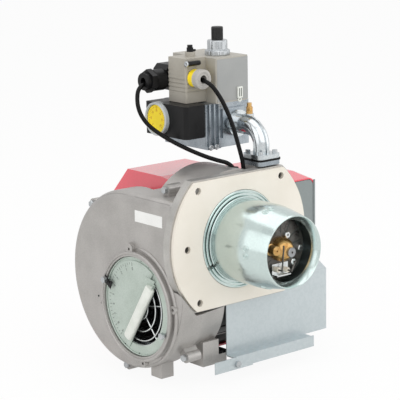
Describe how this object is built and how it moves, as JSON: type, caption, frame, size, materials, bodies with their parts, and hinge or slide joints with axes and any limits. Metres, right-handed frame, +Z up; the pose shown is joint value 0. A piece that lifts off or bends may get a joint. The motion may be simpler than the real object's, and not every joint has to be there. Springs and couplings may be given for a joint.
{
  "type": "forced-draught gas burner",
  "caption": "Forced-draught gas burner: cast spiral fan housing with an adjustable air inlet, oval mounting flange, tapered flame tube, sheet hood, motor and a gas valve train on a bend.",
  "frame": {"origin": "on the flame tube axis, at the front face of the flange gasket", "axes": "-Y along the flame tube in the firing direction, +Z up, +X towards the motor"},
  "size_m": [0.388, 0.454, 0.508],
  "materials": {
    "cast_aluminium": "cast, satin",
    "diecast_zinc": "die cast, bright",
    "gasket_cream": "fibre board, matt",
    "zinc_sheet": "zinc plated, satin",
    "zinc_plate": "zinc plated, matt",
    "screw_steel": "zinc plated",
    "wire_chrome": "bright wire",
    "baffle_dark": "heat darkened",
    "brass": "turned",
    "steel": "turned",
    "ceramic": "glazed ceramic",
    "handle_white": "moulded",
    "fan_steel": "galvanised",
    "motor_black": "satin",
    "hood_red": "satin",
    "plastic_black": "moulded",
    "rubber_black": "matt",
    "case_beige": "moulded",
    "dial_yellow": "printed",
    "clear_plastic": "moulded, clear"
  },
  "bodies": {
    "burner": {"cable_gland": "diecast_zinc", "cable_grommets": "rubber_black", "coil_nut": "screw_steel", "connector_cover": "zinc_sheet", "control_box": "plastic_black", "cover_screw": "plastic_black", "damper_pointer": "plastic_black", "dial_bezel": "clear_plastic", "flame_tube": "zinc_sheet", "flange_gasket": "gasket_cream", "foot_pad": "rubber_black", "gas_elbow": "diecast_zinc", "gas_feed_elbow": "steel", "gas_flange_gasket": "rubber_black", "gas_flange_lower": "diecast_zinc", "gas_flange_screws": "screw_steel", "gland_cable": "rubber_black", "gland_collar": "dial_yellow", "hood": "hood_red", "hood_front_plate": "zinc_plate", "housing_inlet_half": "cast_aluminium", "housing_motor_half": "cast_aluminium", "housing_screws": "screw_steel", "ignition_transformer": "plastic_black", "inlet_clamp_screws": "screw_steel", "inlet_guard": "wire_chrome", "inlet_plate": "zinc_plate", "motor_case": "motor_black", "motor_end_cap": "motor_black", "motor_flange": "motor_black", "mounting_flange": "cast_aluminium", "plug_body": "plastic_black", "plug_cable": "rubber_black", "plug_nut": "plastic_black", "pressure_switch": "plastic_black", "terminal_case": "case_beige", "terminal_rail": "zinc_sheet", "terminal_rail_screw": "screw_steel", "test_nipple": "brass", "top_boss": "case_beige", "top_eyelet": "plastic_black", "tube_clamp_ring": "zinc_sheet", "valve_body": "diecast_zinc", "valve_coil": "diecast_zinc"},
    "fan": {"fan_wheel": "fan_steel", "motor_shaft": "steel", "motor_rotor": "steel"},
    "air_damper": {"damper_blade": "zinc_plate", "damper_handle": "handle_white", "damper_tab": "zinc_plate"},
    "mixing_head": {"baffle_plate": "baffle_dark", "gas_nozzle": "brass", "gas_lance": "steel", "electrode_insulators": "ceramic", "electrode_rods": "wire_chrome", "electrode_clamp": "wire_chrome", "head_nuts": "screw_steel"},
    "flow_knob_body": {"flow_knob": "plastic_black"},
    "pressure_dial_body": {"pressure_dial": "dial_yellow"}
  },
  "joints": [
    {"name": "fan_spin", "type": "hinge", "parent": "burner", "child": "fan", "pos_m": [0, 0.096, -0.098], "axis": [1, 0, 0], "continuous": true},
    {"name": "damper_turn", "type": "hinge", "parent": "burner", "child": "air_damper", "pos_m": [0, 0.096, -0.098], "axis": [1, 0, 0], "range_deg": [-60, 78]},
    {"name": "head_slide", "type": "slide", "parent": "burner", "child": "mixing_head", "axis": [0, 1, 0], "range_m": [-0.008, 0.008]},
    {"name": "flow_knob_turn", "type": "hinge", "parent": "burner", "child": "flow_knob_body", "pos_m": [0.0635, 0.121, 0.28], "axis": [0, 0, 1], "range_deg": [-170, 170]},
    {"name": "pressure_dial_turn", "type": "hinge", "parent": "burner", "child": "pressure_dial_body", "pos_m": [-0.03, 0.151, 0.161], "axis": [1, 0, 0], "range_deg": [-135, 135]}
  ]
}
